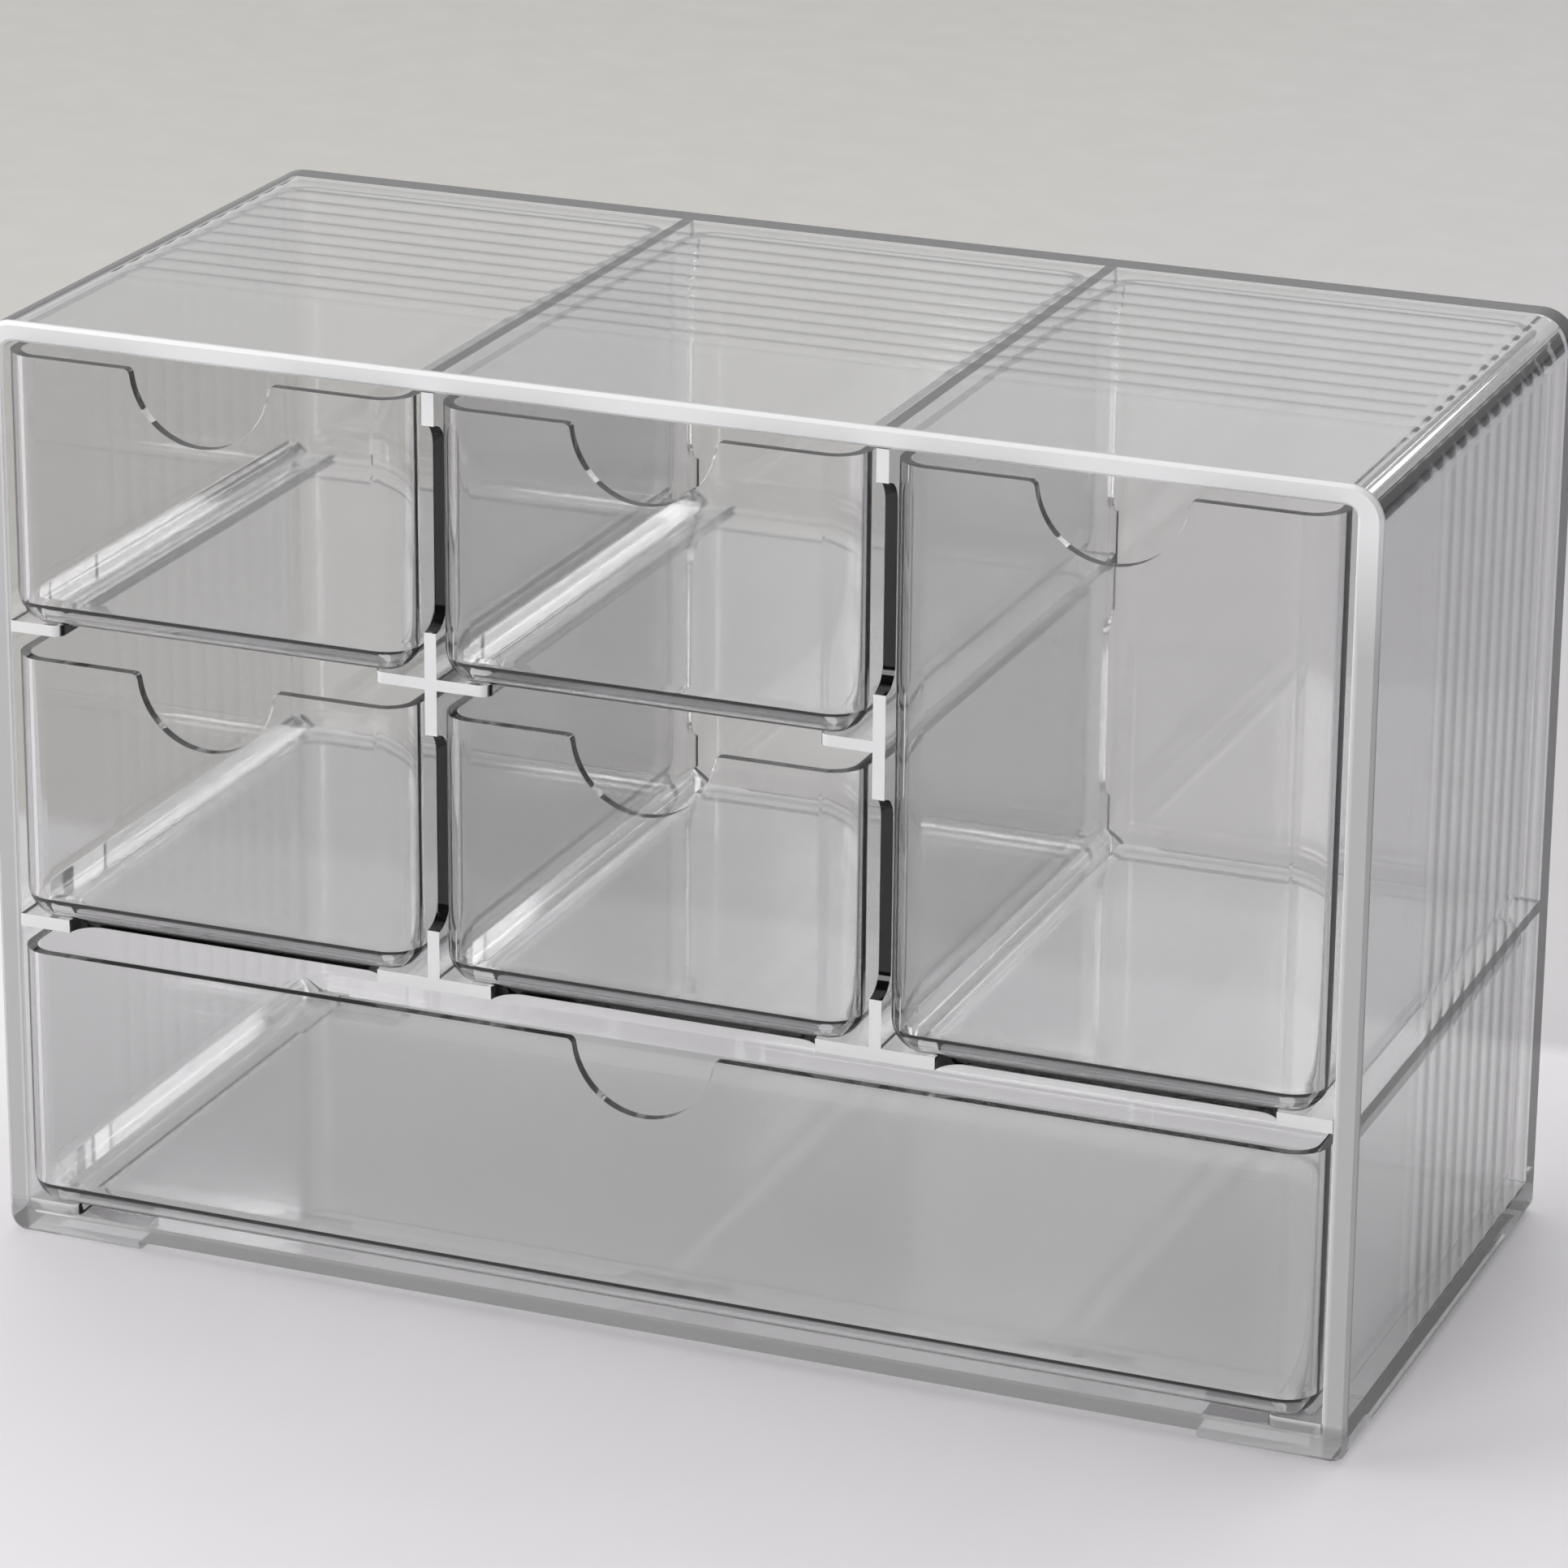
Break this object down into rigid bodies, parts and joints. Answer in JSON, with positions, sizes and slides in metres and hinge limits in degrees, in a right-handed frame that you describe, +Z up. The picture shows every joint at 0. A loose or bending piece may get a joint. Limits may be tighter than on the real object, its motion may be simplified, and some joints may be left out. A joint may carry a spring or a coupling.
{
  "type": "acrylic makeup organizer drawers",
  "caption": "Clear plastic vanity box with pull-out drawers in three columns over one full-width drawer; each front has a half-round finger notch.",
  "frame": {"origin": "centre of the overall footprint, drawers closed, on the standing plane under the four corner feet", "axes": "+X to the right along the width, +Y from the open front to the back wall, +Z up; the drawers pull out along -Y"},
  "size_m": [0.26, 0.1244, 0.176],
  "materials": {
    "case_plastic": "clear, glossy",
    "drawer_plastic": "clear, glossy"
  },
  "bodies": {
    "case": {"outer_shell": "case_plastic", "shelf_panel": "case_plastic", "left_divider": "case_plastic", "right_divider": "case_plastic", "left_runner": "case_plastic"},
    "top_left_drawer": {"top_left_drawer": "drawer_plastic"},
    "lower_left_drawer": {"lower_left_drawer": "drawer_plastic"},
    "top_middle_drawer": {"top_middle_drawer": "drawer_plastic"},
    "lower_middle_drawer": {"lower_middle_drawer": "drawer_plastic"},
    "tall_drawer": {"tall_drawer": "drawer_plastic"},
    "wide_drawer": {"wide_drawer": "drawer_plastic"}
  },
  "joints": [
    {"name": "top_left_slide", "type": "slide", "parent": "case", "child": "top_left_drawer", "axis": [0, -1, 0], "range_m": [0, 0.093]},
    {"name": "lower_left_slide", "type": "slide", "parent": "case", "child": "lower_left_drawer", "axis": [0, -1, 0], "range_m": [0, 0.093]},
    {"name": "top_middle_slide", "type": "slide", "parent": "case", "child": "top_middle_drawer", "axis": [0, -1, 0], "range_m": [0, 0.093]},
    {"name": "lower_middle_slide", "type": "slide", "parent": "case", "child": "lower_middle_drawer", "axis": [0, -1, 0], "range_m": [0, 0.093]},
    {"name": "tall_slide", "type": "slide", "parent": "case", "child": "tall_drawer", "axis": [0, -1, 0], "range_m": [0, 0.093]},
    {"name": "wide_slide", "type": "slide", "parent": "case", "child": "wide_drawer", "axis": [0, -1, 0], "range_m": [0, 0.093]}
  ]
}
